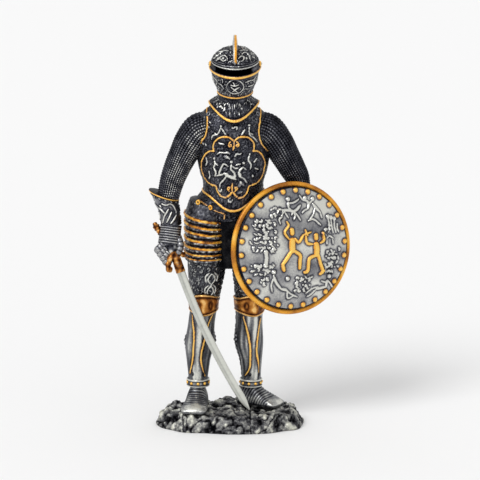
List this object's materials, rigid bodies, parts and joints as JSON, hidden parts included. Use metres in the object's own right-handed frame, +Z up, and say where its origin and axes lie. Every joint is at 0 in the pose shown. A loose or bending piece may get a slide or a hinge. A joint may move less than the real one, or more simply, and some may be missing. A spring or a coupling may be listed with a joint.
{
  "type": "medieval knight figurine",
  "caption": "Standing knight in embossed plate armour with mail sleeves, closed helmet, curved sword and round shield, cast in pewter on a rough oval of ground.",
  "frame": {"origin": "on the underside of the rocky ground, below the knight's trunk", "axes": "+Z up from the ground to the helmet crest; the knight faces -Y, with the shield arm on the +X side"},
  "size_m": [0.0542, 0.0233, 0.1068],
  "materials": {
    "antique_pewter": "cast pewter, blackened in the recesses and rubbed bright on the relief, with orange-gold paint on the trims and bronze paint on the knee cops",
    "shield_pewter": "bright polished pewter with dark recesses round the reliefs, gold painted rim, studs and two central figures",
    "sword_metal": "pale satin blade with a bronze painted hilt",
    "ground_pewter": "rough cast ground, black wash in the cracks and pale grey dry brushed on top"
  },
  "bodies": {
    "root": {"knight": "antique_pewter", "round_shield": "shield_pewter", "sword": "sword_metal", "rocky_ground": "ground_pewter"}
  },
  "joints": []
}
